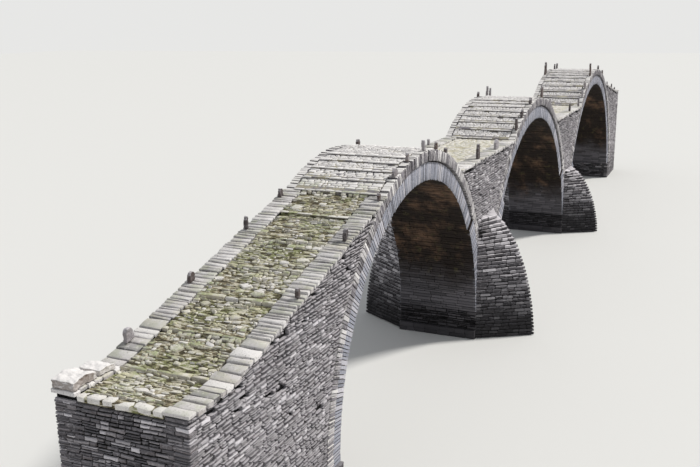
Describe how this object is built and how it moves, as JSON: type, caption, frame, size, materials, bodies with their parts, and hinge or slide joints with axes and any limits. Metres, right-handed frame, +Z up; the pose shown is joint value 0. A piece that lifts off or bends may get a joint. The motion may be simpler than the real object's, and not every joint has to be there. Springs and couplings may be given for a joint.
{
  "type": "stone arch footbridge, 1:2 scale model",
  "caption": "Humpbacked stone footbridge at half size, with stepped paving that rises and falls over round arches, pointed cutwaters and upright edge stones.",
  "frame": {"origin": "middle of the bridge's length and width, on the floor that the piers and abutments stand on", "axes": "+X along the bridge from its near end to its far end, +Y across it to its left side, +Z up"},
  "size_m": [28, 3.35, 4.3262],
  "materials": {
    "base_masonry": "rough coursed grey limestone",
    "cutwater_masonry": "rough coursed grey limestone, darker near the water",
    "inner_ring": "thin dressed arch stones, dark and stained below",
    "outer_ring": "thin dressed blue-grey arch stones",
    "wall_masonry": "rough thin courses of grey limestone",
    "rubble_fill": "rubble and lime mortar, hidden inside",
    "paving": "worn cobbles laid across the way, with moss between",
    "coping": "pale rough limestone slabs",
    "edge_stones": "rough upright slabs of grey limestone"
  },
  "bodies": {
    "root": {"near_abutment": "base_masonry", "far_abutment": "base_masonry", "pier_1": "base_masonry", "pier_2": "base_masonry", "pier_1_cutwater_right": "cutwater_masonry", "pier_1_cutwater_left": "cutwater_masonry", "pier_2_cutwater_right": "cutwater_masonry", "pier_2_cutwater_left": "cutwater_masonry", "arch_1_barrel": "inner_ring", "arch_2_barrel": "inner_ring", "arch_3_barrel": "inner_ring", "arch_1_outer_ring_right": "outer_ring", "arch_1_outer_ring_left": "outer_ring", "arch_2_outer_ring_right": "outer_ring", "arch_2_outer_ring_left": "outer_ring", "arch_3_outer_ring_right": "outer_ring", "arch_3_outer_ring_left": "outer_ring", "near_wall_right": "wall_masonry", "near_wall_left": "wall_masonry", "pier_1_wall_right": "wall_masonry", "pier_1_wall_left": "wall_masonry", "pier_2_wall_right": "wall_masonry", "pier_2_wall_left": "wall_masonry", "far_wall_right": "wall_masonry", "far_wall_left": "wall_masonry", "near_fill": "rubble_fill", "pier_1_fill": "rubble_fill", "pier_2_fill": "rubble_fill", "far_fill": "rubble_fill", "near_ramp_paving": "paving", "hump_1_steps": "paving", "dip_1_paving": "paving", "hump_2_steps": "paving", "dip_2_paving": "paving", "hump_3_steps": "paving", "far_ramp_paving": "paving", "right_coping": "coping", "left_coping": "coping", "right_edge_stones": "edge_stones", "left_edge_stones": "edge_stones", "end_blocks": "edge_stones"}
  },
  "joints": []
}
